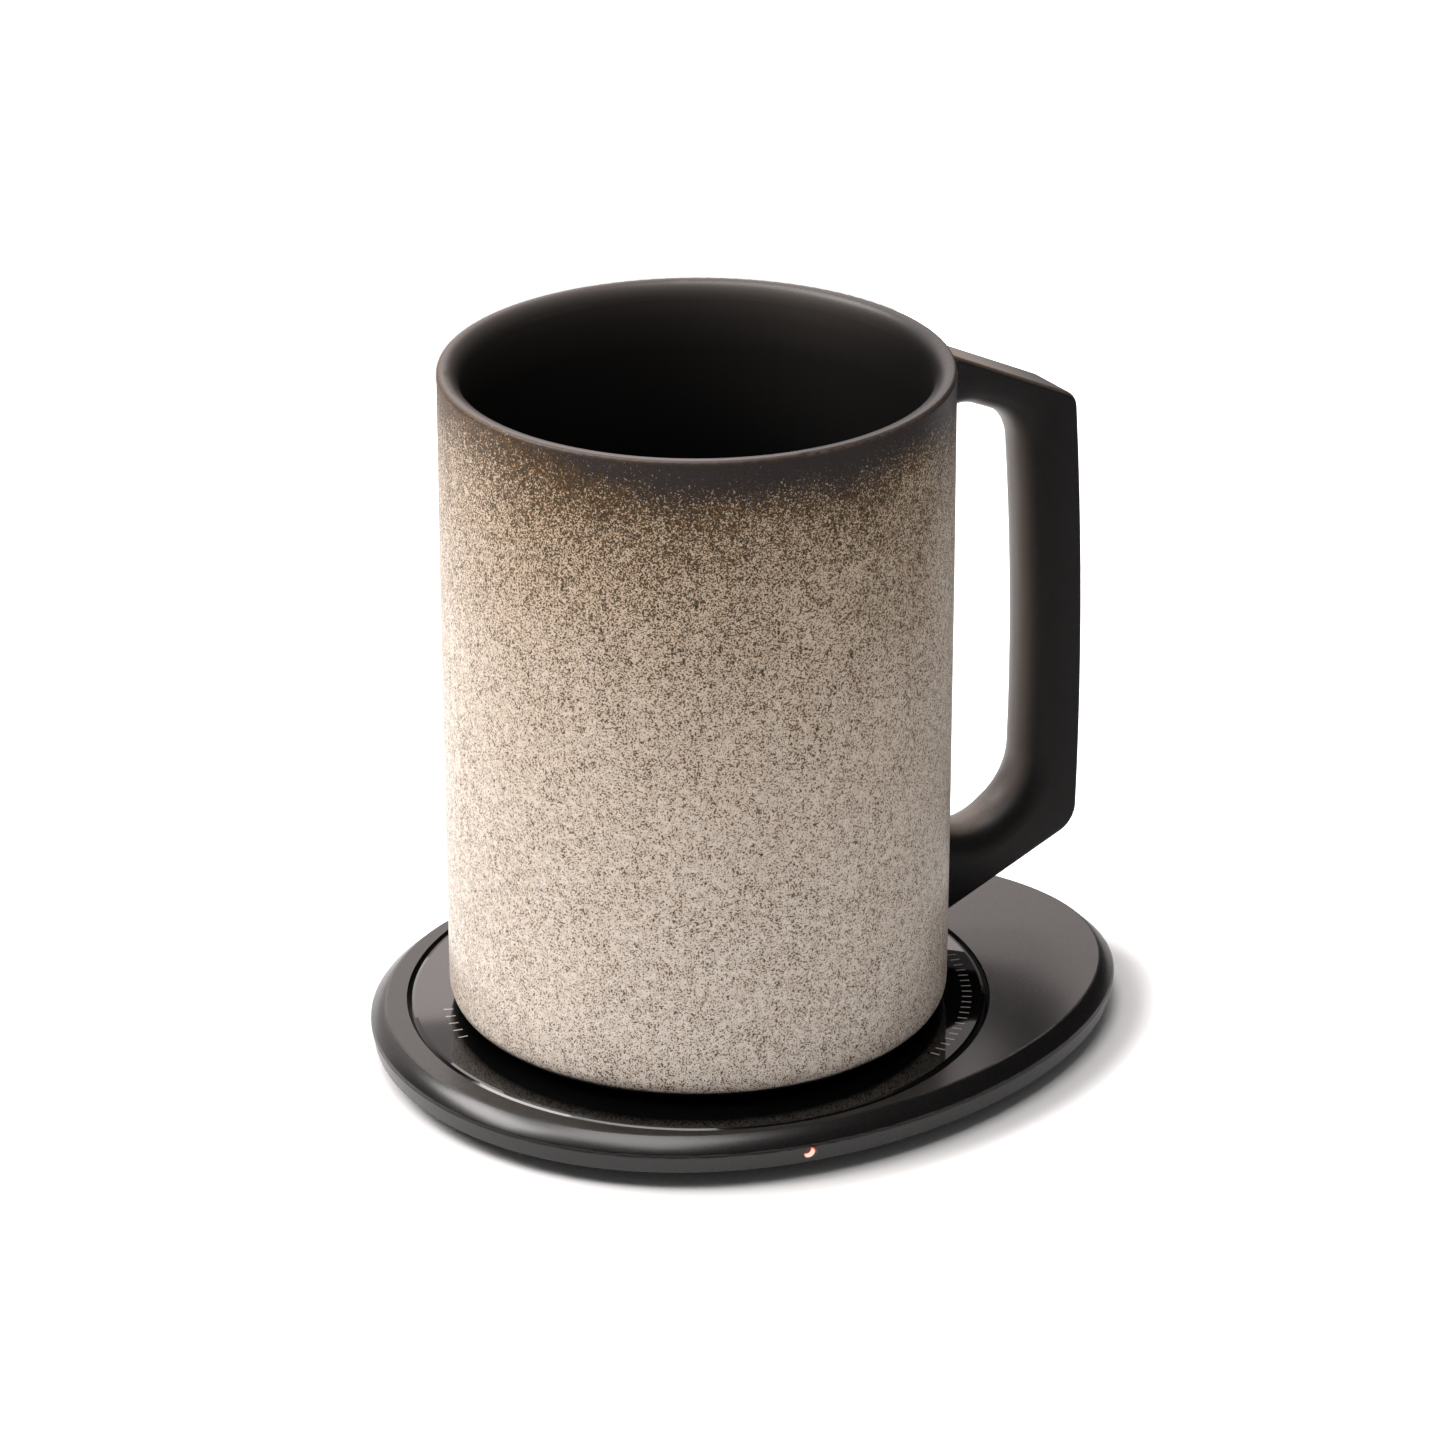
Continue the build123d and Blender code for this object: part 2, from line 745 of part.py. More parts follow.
with BuildPart() as cover_screws:
    with Locations(*boss_places(screw_seat_level - screw_head_height)):
        Cylinder(screw_head_radius, screw_head_height, align=upright)
    with Locations(*boss_places(screw_seat_level)):
        Cylinder(screw_shank_radius, screw_length, align=upright)
    with BuildSketch(Plane.XY.offset(screw_seat_level - screw_head_height)):
        with Locations(*boss_places(0)):
            RegularPolygon(recess_radius, side_count=6)
    extrude(amount=recess_depth, mode=Mode.SUBTRACT)
finish(cover_screws, "cover_screws")

# Transmitter coil stack, bonded under the glass
with BuildPart() as transmitter_coil:
    extrude(
        ring_face(transmitter_coil_under, coil_outer_radius, coil_inner_radius),
        amount=transmitter_coil_thickness,
    )
finish(transmitter_coil, "transmitter_coil")

with BuildPart() as transmitter_ferrite:
    extrude(ring_face(transmitter_ferrite_under, ferrite_radius), amount=ferrite_thickness)
finish(transmitter_ferrite, "transmitter_ferrite")

with BuildPart() as shield_plate:
    extrude(ring_face(shield_under, shield_radius), amount=shield_thickness)
finish(shield_plate, "shield_plate")

with BuildPart() as coil_thermistor:
    extrude(ring_face(transmitter_coil_under, thermistor_radius), amount=transmitter_coil_thickness)
finish(coil_thermistor, "coil_thermistor")

transmitter_leads = lead_pair(
    transmitter_coil_under + transmitter_coil_thickness / 2,
    ledge_inner_radius - transmitter_lead_gap,
    board_top,
    transmitter_lead_bend,
)
finish(transmitter_leads, "transmitter_leads")

# Main board: it fills the far end and clears the shield plate, the bosses and the socket
with BuildPart() as main_board:
    with BuildSketch(Plane.XY.offset(board_under)):
        add(egg_face(0, board_edge_inset))
        with Locations((board_start, 0)):
            Rectangle(
                2 * half_length,
                2 * half_width,
                align=(Align.MIN, Align.CENTER),
                mode=Mode.INTERSECT,
            )
        Circle(board_bore_radius, mode=Mode.SUBTRACT)
        with Locations((usb_rear, 0)):
            Rectangle(usb_depth, usb_width, align=(Align.MIN, Align.CENTER), mode=Mode.SUBTRACT)
        with Locations(*boss_places(0)):
            Circle(boss_radius + boss_hole_clearance, mode=Mode.SUBTRACT)
        with Locations(*board_places(board_screw_shares, 0)):
            Circle(board_screw_radius + board_hole_clearance, mode=Mode.SUBTRACT)
    extrude(amount=board_thickness)
finish(main_board, "main_board")

with BuildPart() as board_screws:
    with Locations(*board_places(board_screw_shares, board_top)):
        Cylinder(board_screw_head_radius, board_screw_head_height, align=upright)
    with Locations(*board_places(board_screw_shares, board_top - board_screw_length + pilot_spare)):
        Cylinder(board_screw_radius, board_screw_length - pilot_spare, align=upright)
finish(board_screws, "board_screws")

with BuildPart() as control_chips:
    with Locations(*board_places(chip_shares, board_top)):
        Box(chip_size, chip_size, chip_height, align=upright)
finish(control_chips, "control_chips")

with BuildPart() as power_transistors:
    with Locations(*board_places(transistor_shares, board_top)):
        Box(small_chip_size, small_chip_size, chip_height, align=upright)
finish(power_transistors, "power_transistors")

with BuildPart() as board_capacitors:
    with Locations(*board_places(capacitor_shares, board_top)):
        Box(capacitor_length, capacitor_width, capacitor_height, align=upright)
finish(board_capacitors, "board_capacitors")

with BuildPart() as bulk_capacitors:
    with Locations(*board_places(bulk_shares, board_top)):
        Cylinder(bulk_radius, bulk_height, align=upright)
finish(bulk_capacitors, "bulk_capacitors")

with BuildPart() as power_inductor:
    with Locations(*board_places(inductor_shares, board_top)):
        Box(inductor_size, inductor_size, inductor_height, align=upright)
    fillet(power_inductor.edges().filter_by(Axis.Z), inductor_round)
finish(power_inductor, "power_inductor")

with BuildPart() as clock_crystal:
    with Locations(*board_places(crystal_shares, board_top)):
        Box(crystal_length, crystal_width, crystal_height, align=upright)
finish(clock_crystal, "clock_crystal")

# USB-C socket
with BuildPart() as usb_shell:
    with BuildSketch(Plane.YZ.offset(usb_rear)):
        with Locations((0, usb_level)):
            SlotOverall(usb_width, usb_height)
    extrude(amount=usb_depth)
    with BuildSketch(Plane.YZ.offset(usb_rear + usb_back)):
        with Locations((0, usb_level)):
            SlotOverall(usb_width - 2 * usb_sheet, usb_height - 2 * usb_sheet)
    extrude(amount=usb_depth, mode=Mode.SUBTRACT)
finish(usb_shell, "usb_shell")

with BuildPart() as usb_tongue:
    with BuildSketch(Plane.YZ.offset(usb_rear + usb_back)):
        with Locations((0, usb_level)):
            SlotOverall(usb_width - 2 * usb_sheet, usb_height - 2 * usb_sheet)
    extrude(amount=usb_block_depth)
    with BuildSketch(Plane.YZ.offset(usb_rear + usb_back)):
        with Locations((0, usb_level)):
            Rectangle(tongue_plate_width, tongue_plate_height)
    extrude(amount=usb_depth - usb_back - tongue_plate_setback)
finish(usb_tongue, "usb_tongue")

# Light: board, chip, lens in the wall, and flat cable to the main board
with BuildPart() as light_board:
    with Locations((light_offset, light_board_middle, board_under)):
        Box(light_board_length, light_board_depth, board_thickness, align=upright)
finish(light_board, "light_board")

lens_back = egg_half_width(light_offset, lens_back_inset)
lens_front = egg_half_width(light_offset, lens_recess)

with BuildPart() as light_chip:
    with Locations((light_offset, -lens_back, board_top)):
        Box(
            light_chip_width,
            light_chip_depth,
            light_chip_height,
            align=(Align.CENTER, Align.MIN, Align.MIN),
        )
finish(light_chip, "light_chip")

with BuildPart() as light_lens:
    with BuildSketch(Plane.XZ.offset(lens_back)):
        with Locations((light_offset, light_level)):
            Circle(light_hole_radius - lens_clearance)
    extrude(amount=lens_front - lens_back)
finish(light_lens, "light_lens")

with BuildPart() as light_cable:
    with BuildSketch(Plane.XY.offset(board_top)):
        with BuildLine():
            cable_sweep = cable_end_angle - cable_start_angle
            inner = CenterArc((0, 0), cable_radius - cable_width / 2, cable_start_angle, cable_sweep)
            outer = CenterArc((0, 0), cable_radius + cable_width / 2, cable_start_angle, cable_sweep)
            Line(inner @ 0, outer @ 0)
            Line(inner @ 1, outer @ 1)
        make_face()
    extrude(amount=cable_thickness)
finish(light_cable, "light_cable")
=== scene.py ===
from math import cos, hypot, pi, radians, sin

import bpy
from mathutils import Euler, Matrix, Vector


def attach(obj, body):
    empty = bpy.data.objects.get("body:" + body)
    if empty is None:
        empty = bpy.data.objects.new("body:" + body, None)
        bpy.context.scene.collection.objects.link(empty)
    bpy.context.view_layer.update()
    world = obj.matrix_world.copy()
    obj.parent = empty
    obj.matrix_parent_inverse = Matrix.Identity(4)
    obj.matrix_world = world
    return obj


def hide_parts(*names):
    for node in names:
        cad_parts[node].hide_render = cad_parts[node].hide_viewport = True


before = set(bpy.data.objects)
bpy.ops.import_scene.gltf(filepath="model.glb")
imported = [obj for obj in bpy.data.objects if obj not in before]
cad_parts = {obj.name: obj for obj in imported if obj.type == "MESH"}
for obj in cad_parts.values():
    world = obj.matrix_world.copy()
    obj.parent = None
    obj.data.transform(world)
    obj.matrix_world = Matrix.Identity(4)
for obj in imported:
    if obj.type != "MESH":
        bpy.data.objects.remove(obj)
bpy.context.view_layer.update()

# The mug and its coaster, in the same frame as the solids. Objects are in metres. The materials
# count in millimetres, and a turn is in degrees from +X towards +Y.
MILLIMETRE = 0.001
PER_METRE = 1000.0


def solid_points(name):
    """The points of a solid, in millimetres."""
    return [vertex.co * PER_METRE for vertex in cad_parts[name].data.vertices]


def top_of(name):
    return max(point.z for point in solid_points(name))


def radius_of(name):
    return max(hypot(point.x, point.y) for point in solid_points(name))


def middle_of(name):
    """The place half way between the sides of a solid, along X and up."""
    points = solid_points(name)
    sides = [point.x for point in points]
    levels = [point.z for point in points]
    return (min(sides) + max(sides)) / 2, (min(levels) + max(levels)) / 2


# Places that the patterns are laid out from
GLASS_TOP = top_of("glass_plate")
GLASS_RADIUS = radius_of("glass_plate")
RIM_LEVEL = top_of("mug_body")
MUG_HEIGHT = RIM_LEVEL - GLASS_TOP
MUG_RADIUS = 41.0
LIGHT_CENTRE = middle_of("light_lens")

# Camera, as the photograph was taken
CAMERA_PLACE = (-0.33264, -0.75911, 0.43391)
CAMERA_ANGLES = (65.5689, 0.0249, -23.9510)
CAMERA_LENS = 140.637
CAMERA_SENSOR = 36.0
CAMERA_TURN = -113.66
CAMERA_NEAR = 0.05


def paint(red, green, blue):
    """A colour as a screen shows it, from 0 to 255, as the linear value that a shader takes."""
    channels = []
    for value in (red, green, blue):
        share = value / 255
        channels.append(share / 12.92 if share <= 0.04045 else ((share + 0.055) / 1.055) ** 2.4)
    return (*channels, 1.0)


def grey(level):
    """A grey whose linear value is given."""
    return (level, level, level, 1.0)


class Tree:
    """Short ways to add nodes to a node tree and to join them."""

    def __init__(self, tree):
        self.tree = tree

    def add(self, kind, inputs=None, **settings):
        node = self.tree.nodes.new(kind)
        for name, value in settings.items():
            setattr(node, name, value)
        for name, value in (inputs or {}).items():
            self.feed(node.inputs[name], value)
        return node

    def feed(self, socket, value):
        if isinstance(value, bpy.types.NodeSocket):
            self.tree.links.new(value, socket)
        else:
            socket.default_value = value

    def maths(self, operation, *values):
        node = self.add("ShaderNodeMath", operation=operation)
        for socket, value in zip(node.inputs, values):
            self.feed(socket, value)
        return node.outputs[0]

    def plus(self, first, second):
        return self.maths("ADD", first, second)

    def minus(self, first, second):
        return self.maths("SUBTRACT", first, second)

    def times(self, first, second):
        return self.maths("MULTIPLY", first, second)

    def over(self, first, second):
        return self.maths("DIVIDE", first, second)

    def larger(self, first, second):
        return self.maths("MAXIMUM", first, second)

    def smooth(self, value, low, high):
        """Rises smoothly from 0 at low to 1 at high, or falls where low is the larger."""
        node = self.add("ShaderNodeMapRange", {"Value": value}, interpolation_type="SMOOTHSTEP")
        self.feed(node.inputs["From Min"], min(low, high))
        self.feed(node.inputs["From Max"], max(low, high))
        if low < high:
            return node.outputs["Result"]
        return self.minus(1.0, node.outputs["Result"])

    def spread(self, value, low, high):
        """Takes a value from 0 to 1 to the range from low to high."""
        node = self.add("ShaderNodeMapRange", {"Value": value, "To Min": low, "To Max": high})
        return node.outputs["Result"]

    def sway(self, value, size):
        """Takes a value from 0 to 1 to a range of a size about zero."""
        return self.times(self.minus(value, 0.5), size)

    def dome(self, value, middle, reach):
        """A parabola that is 1 in the middle and 0 from a reach away on either side."""
        off = self.over(self.minus(value, middle), reach)
        return self.larger(self.minus(1.0, self.times(off, off)), 0.0)

    def mix(self, share, first, second):
        node = self.add("ShaderNodeMix", data_type="RGBA")
        for index, value in ((0, share), (6, first), (7, second)):
            self.feed(node.inputs[index], value)
        return node.outputs[2]

    def noise(self, place, scale, detail=2.0, roughness=0.5):
        node = self.add(
            "ShaderNodeTexNoise",
            {"Vector": place, "Scale": scale, "Detail": detail, "Roughness": roughness},
        )
        return node.outputs["Fac"]

    def curve(self, value, points):
        """A value that follows straight lines through points of (position, value)."""
        node = self.add("ShaderNodeValToRGB", {"Fac": value})
        stops = node.color_ramp.elements
        while len(stops) < len(points):
            stops.new(1.0)
        for stop, (position, level) in zip(stops, points):
            stop.position = position
            stop.color = grey(level)
        return node.outputs["Color"]

    def use(self, group, inputs):
        node = self.add("ShaderNodeGroup", node_tree=group)
        for name, value in inputs.items():
            self.feed(node.inputs[name], value)
        return node.outputs

    def millimetres(self):
        """The object's own coordinates, in millimetres."""
        place = self.add("ShaderNodeTexCoord").outputs["Object"]
        node = self.add("ShaderNodeVectorMath", operation="SCALE")
        self.feed(node.inputs[0], place)
        self.feed(node.inputs["Scale"], PER_METRE)
        return node.outputs["Vector"]

    def split(self, vector):
        node = self.add("ShaderNodeSeparateXYZ", {"Vector": vector})
        return node.outputs["X"], node.outputs["Y"], node.outputs["Z"]

    def turned_split(self, vector, turn):
        """The three values of a vector along axes that stand a turn about Z away from the frame's."""
        node = self.add(
            "ShaderNodeVectorRotate",
            {"Vector": vector, "Angle": radians(-turn)},
            rotation_type="Z_AXIS",
        )
        return self.split(node.outputs["Vector"])

    def toward(self, x, y, turn):
        """How far a place lies from the Z axis in the direction of a turn."""
        return self.plus(self.times(x, cos(radians(turn))), self.times(y, sin(radians(turn))))

    def distance(self, first, second):
        """The length of a pair of values, such as a radius from x and y."""
        squares = self.plus(self.times(first, first), self.times(second, second))
        return self.maths("SQRT", squares)

    def bump(self, height, depth, strength=1.0, normal=None):
        """A normal for a height, whose full depth is given in millimetres, on top of another normal."""
        node = self.add(
            "ShaderNodeBump",
            {"Height": height, "Strength": strength, "Distance": depth * MILLIMETRE},
        )
        if normal is not None:
            self.feed(node.inputs["Normal"], normal)
        return node.outputs["Normal"]


def new_group(name, inputs, outputs):
    """An empty shader group with named number and vector sockets."""
    group = bpy.data.node_groups.new(name, "ShaderNodeTree")
    for label, value in inputs:
        kind = "NodeSocketVector" if value is None else "NodeSocketFloat"
        socket = group.interface.new_socket(label, in_out="INPUT", socket_type=kind)
        if value is not None:
            socket.default_value = value
    for label in outputs:
        group.interface.new_socket(label, in_out="OUTPUT", socket_type="NodeSocketFloat")
    tree = Tree(group)
    return group, tree, tree.add("NodeGroupInput").outputs, tree.add("NodeGroupOutput").inputs


# Noise lies mostly between 0.3 and 0.7, so the cover moves the specks' threshold over that range
THRESHOLD_RANGE = (0.74, 0.28)
CLUSTER_GRAIN_SHARE = 0.22
CLUSTER_WEIGHT = 0.23


def make_speckle_group():
    """Glaze specks: irregular grains that gather in clusters, whose share of the surface is given."""
    group, tree, given, result = new_group(
        "glaze_specks",
        [("Place", None), ("Grain", 2.4), ("Cover", 0.3), ("Edge", 0.05)],
        ["Specks", "Clusters"],
    )
    grain = tree.noise(given["Place"], given["Grain"], 2.0, 0.55)
    cluster_grain = tree.times(given["Grain"], CLUSTER_GRAIN_SHARE)
    clusters = tree.noise(given["Place"], cluster_grain, 2.0, 0.55)
    gathered = tree.plus(grain, tree.sway(clusters, CLUSTER_WEIGHT))
    threshold = tree.spread(given["Cover"], *THRESHOLD_RANGE)
    edge = tree.add(
        "ShaderNodeMapRange",
        {
            "Value": gathered,
            "From Min": tree.minus(threshold, given["Edge"]),
            "From Max": tree.plus(threshold, given["Edge"]),
        },
        interpolation_type="SMOOTHSTEP",
    )
    tree.feed(result["Specks"], edge.outputs["Result"])
    tree.feed(result["Clusters"], clusters)
    return group


def make_grain_group():
    """Fine moulded or sprayed grain: a height for bump and a slow shade for colour and gloss."""
    group, tree, given, result = new_group(
        "fine_grain", [("Place", None), ("Grain", 3.0), ("Patch", 0.08)], ["Height", "Shade"]
    )
    tree.feed(result["Height"], tree.noise(given["Place"], given["Grain"], 2.0, 0.6))
    tree.feed(result["Shade"], tree.noise(given["Place"], given["Patch"], 3.0, 0.6))
    return group


def make_turned_group():
    """Fine ridges round the Z axis, with flats between them, as on turned or wound work."""
    group, tree, given, result = new_group("turned_lines", [("Place", None), ("Pitch", 1.0)], ["Height"])
    x, y, _ = tree.split(given["Place"])
    around = tree.over(tree.distance(x, y), given["Pitch"])
    wave = tree.maths("SINE", tree.times(around, 2 * pi))
    tree.feed(result["Height"], tree.spread(tree.times(wave, 0.5), 0.5, 1.5))
    return group


SPECKS = make_speckle_group()
GRAIN = make_grain_group()
TURNED = make_turned_group()


def new_material(name, **constants):
    """A material with one shader, whose constant values are set on its own sockets."""
    material = bpy.data.materials.new(name)
    material.use_nodes = True
    tree = Tree(material.node_tree)
    shader = material.node_tree.nodes["Principled BSDF"]
    for label, value in constants.items():
        shader.inputs[label.replace("_", " ")].default_value = value
    return material, tree, shader


GLOSS_DRIFT = 0.06


def grained(name, colour, roughness, grain=3.0, depth=0.02, variety=0.12, **constants):
    """A plain finish with a fine grain, whose colour and gloss vary a little from place to place."""
    material, tree, shader = new_material(name, **constants)
    place = tree.millimetres()
    out = tree.use(GRAIN, {"Place": place, "Grain": grain})
    dark = tuple(channel * (1 - variety) for channel in colour[:3]) + (1.0,)
    light = tuple(min(1.0, channel * (1 + variety)) for channel in colour[:3]) + (1.0,)
    shade = tree.mix(out["Shade"], dark, light)
    tree.feed(shader.inputs["Base Color"], tree.mix(out["Height"], shade, colour))
    gloss = tree.spread(out["Shade"], roughness - GLOSS_DRIFT, roughness + GLOSS_DRIFT)
    tree.feed(shader.inputs["Roughness"], gloss)
    tree.feed(shader.inputs["Normal"], tree.bump(out["Height"], depth, 0.5))
    return material


# Glaze of the mug. A level is a share of the way down from the rim to the glass plate.
LIP_SETBACK = 0.4
LIP_RADIUS = MUG_RADIUS - LIP_SETBACK
LIP_BLEND = 0.5
LIP_CROWN_REACH = 3.8
LIP_CROWN_HEIGHT = 1.4
LIP_LINE_DROP = (0.9, 0.4)
LEAN_TURN = -73.66
# The turn of the side of the lip that is painted in shade, away from the key light
LIP_SHADE_TURN = -38.66
COVER_CURVE = [
    (0.0, 0.84), (0.04, 0.66), (0.085, 0.54), (0.16, 0.475),
    (0.32, 0.40), (0.52, 0.355), (0.75, 0.345), (1.0, 0.35),
]
TAN_CURVE = [(0.0, 1.0), (0.12, 0.85), (0.35, 0.45), (0.7, 0.12), (1.0, 0.0)]
# Painted light inside the mug: how much of the lip's grey is left at each share of the way down, fading
# into painted shade
LIP_LIGHT_FADE_CURVE = [(0.0, 1.0), (0.02, 0.65), (0.05, 0.32), (0.10, 0.12), (0.26, 0.0)]
BAND_EDGE = (0.002, -0.056)
LEVEL_DRIFT = 0.10
LEVEL_LEAN = -0.025
BAND_LEAN = -0.055
COVER_DRIFT = 0.14
SPECK_DEPTH = 0.035


def glaze_ground(tree, level, clusters, dust):
    """Clay, tanner towards the top, with paler spots where the glaze is thick, and fine brown dust."""
    pale = tree.mix(tree.smooth(clusters, 0.56, 0.36), paint(222, 210, 197), paint(233, 224, 214))
    tan_share = tree.times(tree.curve(level, TAN_CURVE), 0.75)
    ground = tree.mix(tan_share, pale, paint(216, 188, 154))
    return tree.mix(tree.times(dust, 0.50), ground, paint(156, 126, 92))


def glaze_inside(tree, x, y, height_share):
    """Black glaze, with painted light that makes the lip greyer and fades into black deeper down, and
    painted shade on the side of the lip turned away from the key light.
    """
    shaded_side = tree.over(tree.toward(x, y, LIP_SHADE_TURN), MUG_RADIUS)
    lip_light_and_shade = tree.mix(tree.smooth(shaded_side, 0.1, 0.9), paint(86, 80, 77), paint(26, 24, 23))
    return tree.mix(tree.curve(height_share, LIP_LIGHT_FADE_CURVE), paint(9, 9, 9), lip_light_and_shade)


def speckled_glaze():
    """Pale stoneware with brown specks, which thicken upwards into a dark band under the lip."""
    material, tree, shader = new_material("speckled_glaze", Specular_IOR_Level=0.4)
    place = tree.millimetres()
    x, y, z = tree.split(place)
    radius = tree.distance(x, y)
    drop = tree.minus(RIM_LEVEL, z)
    height_share = tree.over(drop, MUG_HEIGHT)

    # Slow drifts move the fade up and down round the mug, and it reaches lower towards its lean
    lean = tree.over(tree.toward(x, y, LEAN_TURN), MUG_RADIUS)
    ragged = tree.sway(tree.noise(place, 0.045), LEVEL_DRIFT)
    level = tree.plus(height_share, tree.plus(ragged, tree.times(lean, LEVEL_LEAN)))
    cloud = tree.sway(tree.noise(place, 0.16, 3.0, 0.6), COVER_DRIFT)
    cover = tree.plus(tree.curve(level, COVER_CURVE), cloud)
    fine = tree.use(SPECKS, {"Place": place, "Grain": 3.7, "Cover": cover, "Edge": 0.020})
    fewer = tree.minus(cover, 0.15)
    coarse = tree.use(SPECKS, {"Place": place, "Grain": 2.1, "Cover": fewer, "Edge": 0.03})
    dust = tree.use(SPECKS, {"Place": place, "Grain": 6.5, "Cover": cover, "Edge": 0.04})

    # Specks in two browns, and darker blotches
    ground = glaze_ground(tree, level, fine["Clusters"], dust["Specks"])
    hue = tree.smooth(tree.noise(place, 0.7, 2.0, 0.6), 0.42, 0.58)
    brown = tree.mix(hue, paint(82, 64, 34), paint(106, 76, 44))
    specked = tree.mix(fine["Specks"], ground, brown)
    blotched = tree.mix(tree.times(coarse["Specks"], 0.80), specked, paint(60, 43, 26))

    # Smooth dark band under the lip, with a grainy lower edge
    sunk = tree.plus(level, tree.times(lean, BAND_LEAN))
    grainy = tree.plus(tree.sway(fine["Specks"], 0.045), tree.sway(fine["Clusters"], -0.10))
    band = tree.smooth(tree.minus(sunk, grainy), *BAND_EDGE)
    banded = tree.mix(band, blotched, paint(57, 50, 49))

    # Broken brown line where the glaze thins on the outer edge of the lip
    broken = tree.smooth(tree.noise(place, 0.55, 3.0, 0.7), 0.42, 0.60)
    thin = tree.times(tree.smooth(drop, *LIP_LINE_DROP), broken)
    lipped = tree.mix(thin, banded, paint(72, 57, 44))
    # Black inside, with painted light on the lip, painted shade deeper down and painted shade on one
    # side of the lip
    inside = tree.smooth(radius, LIP_RADIUS, LIP_RADIUS - LIP_BLEND)
    black = glaze_inside(tree, x, y, height_share)
    tree.feed(shader.inputs["Base Color"], tree.mix(inside, lipped, black))

    satin = tree.spread(band, 0.40, 0.36)
    gloss = tree.mix(tree.smooth(height_share, 0.45, 0.95), satin, grey(0.30))
    pitted = tree.plus(gloss, tree.times(fine["Specks"], 0.10))
    tree.feed(shader.inputs["Roughness"], tree.mix(inside, pitted, grey(0.42)))

    # Pits at the specks of the wall, and a crown on the lip
    wall_height = tree.times(tree.minus(1.0, fine["Specks"]), tree.spread(band, 1.0, 0.25))
    outside_height = tree.times(wall_height, tree.minus(1.0, inside))
    pitted_normal = tree.bump(outside_height, SPECK_DEPTH, 0.35)
    crown = tree.dome(radius, LIP_RADIUS, LIP_CROWN_REACH)
    crowned = tree.bump(crown, LIP_CROWN_HEIGHT, normal=pitted_normal)
    tree.feed(shader.inputs["Normal"], crowned)
    return material


# Handle, in the plane of its own turn: out from the mug's axis, across the handle, and up. Its centre
# is about the middle of the finger gap.
HANDLE_TURN = 7.3
HANDLE_CENTRE = (50.0, 62.0)
STRAP_REACH = (60.0, 73.0)
TOP_REACH = (94.0, 108.0)
ROOT_REACH = (49.0, 41.0)
# Reach of the painted highlight on the upward faces, out from the mug's axis
TOP_HIGHLIGHT_REACH = (72.0, 44.0)
FACE_BLEND = 2.0


def handle_glaze():
    """Satin black-brown glaze that breaks lighter along the outer edges and at the mug, with a painted
    sheen on its far part and top, and painted highlights on its finger face and upward faces.
    """
    material, tree, shader = new_material("handle_glaze", Specular_IOR_Level=0.45)
    place = tree.millimetres()
    out, _, up = tree.turned_split(place, HANDLE_TURN)
    cloud = tree.noise(place, 0.14, 3.0, 0.6)
    mottle = tree.noise(place, 1.1, 3.0, 0.65)
    base = tree.mix(cloud, paint(17, 16, 17), paint(24, 22, 22))
    # Painted sheen: the far part of the handle and its top are paler
    paler = tree.larger(tree.smooth(out, *STRAP_REACH), tree.smooth(up, *TOP_REACH))
    sheen = tree.mix(tree.times(paler, 0.75), base, paint(40, 38, 39))
    mottled = tree.mix(tree.times(mottle, 0.4), sheen, paint(30, 27, 25))

    # The outer edges: a normal between the side and the outer face, away from the finger gap
    normal = tree.add("ShaderNodeTexCoord").outputs["Normal"]
    facing_out, facing_across, facing_up = tree.turned_split(normal, HANDLE_TURN)
    sideways = tree.maths("ABSOLUTE", facing_across)
    rounded = tree.times(tree.smooth(sideways, 0.15, 0.45), tree.smooth(sideways, 0.97, 0.80))
    away = tree.plus(
        tree.times(facing_out, tree.minus(out, HANDLE_CENTRE[0])),
        tree.times(facing_up, tree.minus(up, HANDLE_CENTRE[1])),
    )
    outer = tree.times(rounded, tree.smooth(away, 0.0, FACE_BLEND))
    worn = tree.times(outer, tree.spread(mottle, 0.2, 1.0))
    edged = tree.mix(worn, mottled, paint(98, 84, 74))

    # Painted highlights: the finger face is paler where light falls on it, and so are the upward faces
    # towards the mug
    inward = tree.times(tree.smooth(away, 0.0, -FACE_BLEND), tree.smooth(sideways, 0.82, 0.22))
    finger_face_lit = tree.mix(inward, edged, paint(106, 99, 95))
    upward = tree.times(tree.smooth(facing_up, 0.70, 0.95), tree.smooth(out, *TOP_HIGHLIGHT_REACH))
    top_highlight = tree.times(upward, tree.spread(mottle, 0.3, 1.0))
    top_lit = tree.mix(top_highlight, finger_face_lit, paint(160, 146, 136))

    # Tan specks spill over from the mug at both roots
    near_mug = tree.smooth(out, *ROOT_REACH)
    cover = tree.times(near_mug, 0.60)
    specks = tree.use(SPECKS, {"Place": place, "Grain": 1.9, "Cover": cover, "Edge": 0.06})
    spilled = tree.mix(tree.times(specks["Specks"], near_mug), top_lit, paint(122, 104, 88))
    tree.feed(shader.inputs["Base Color"], spilled)
    tree.feed(shader.inputs["Roughness"], tree.spread(mottle, 0.36, 0.48))
    tree.feed(shader.inputs["Normal"], tree.bump(mottle, 0.05, 0.25))
    return material


# The coaster's shoulder, which swells softly between its two creases, up to the top
SHOULDER_REACH = 1.25
SHOULDER_LEVEL = GLASS_TOP - SHOULDER_REACH
SHOULDER_SWELL = 0.24
PAINT_GRAIN_DEPTH = 0.010


